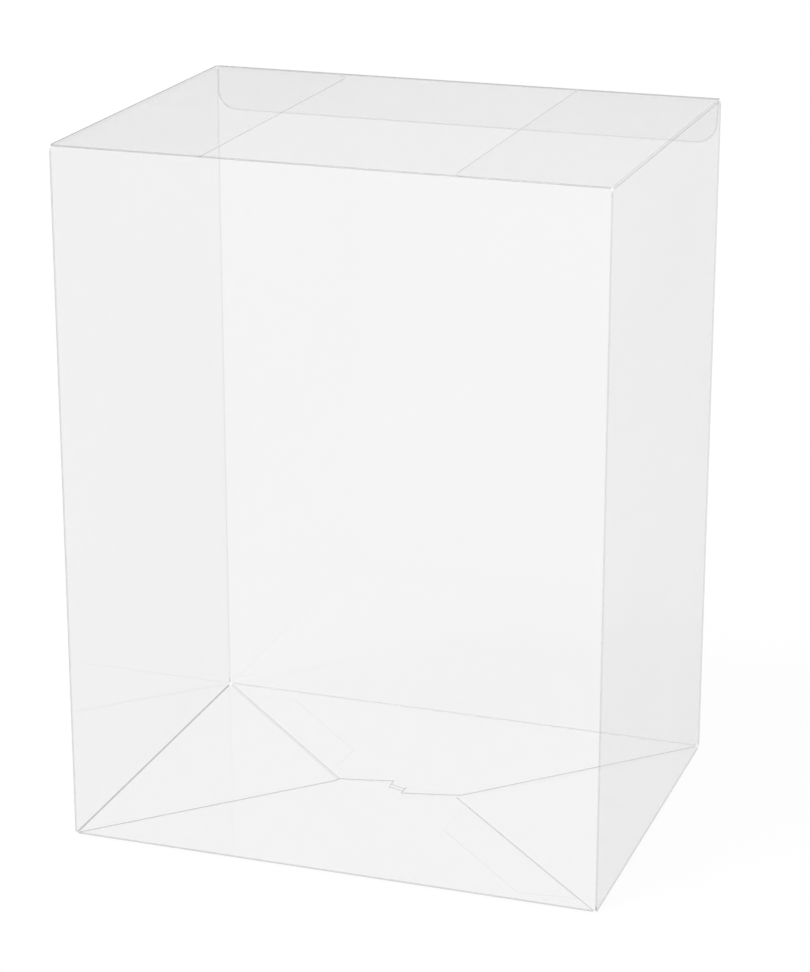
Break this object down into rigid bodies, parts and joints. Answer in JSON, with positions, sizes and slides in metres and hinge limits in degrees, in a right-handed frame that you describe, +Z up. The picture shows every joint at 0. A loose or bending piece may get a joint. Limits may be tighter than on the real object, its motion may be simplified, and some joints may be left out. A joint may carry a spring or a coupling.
{
  "type": "clear folding box protector",
  "caption": "Clear film box protector: one folded sheet with a hinged tuck lid, dust flaps under it and a self-locking bottom.",
  "frame": {"origin": "middle of the base that the box stands on", "axes": "+X to the right of the front wall, +Y to the back wall, +Z up"},
  "size_m": [0.254, 0.194, 0.33],
  "materials": {
    "clear_film": "clear glossy PET film"
  },
  "bodies": {
    "box": {"box_body": "clear_film"},
    "lid": {"lid": "clear_film"}
  },
  "joints": [
    {"name": "lid_hinge", "type": "hinge", "parent": "box", "child": "lid", "pos_m": [0, -0.096, 0.33], "axis": [1, 0, 0], "range_deg": [0, 180]}
  ]
}
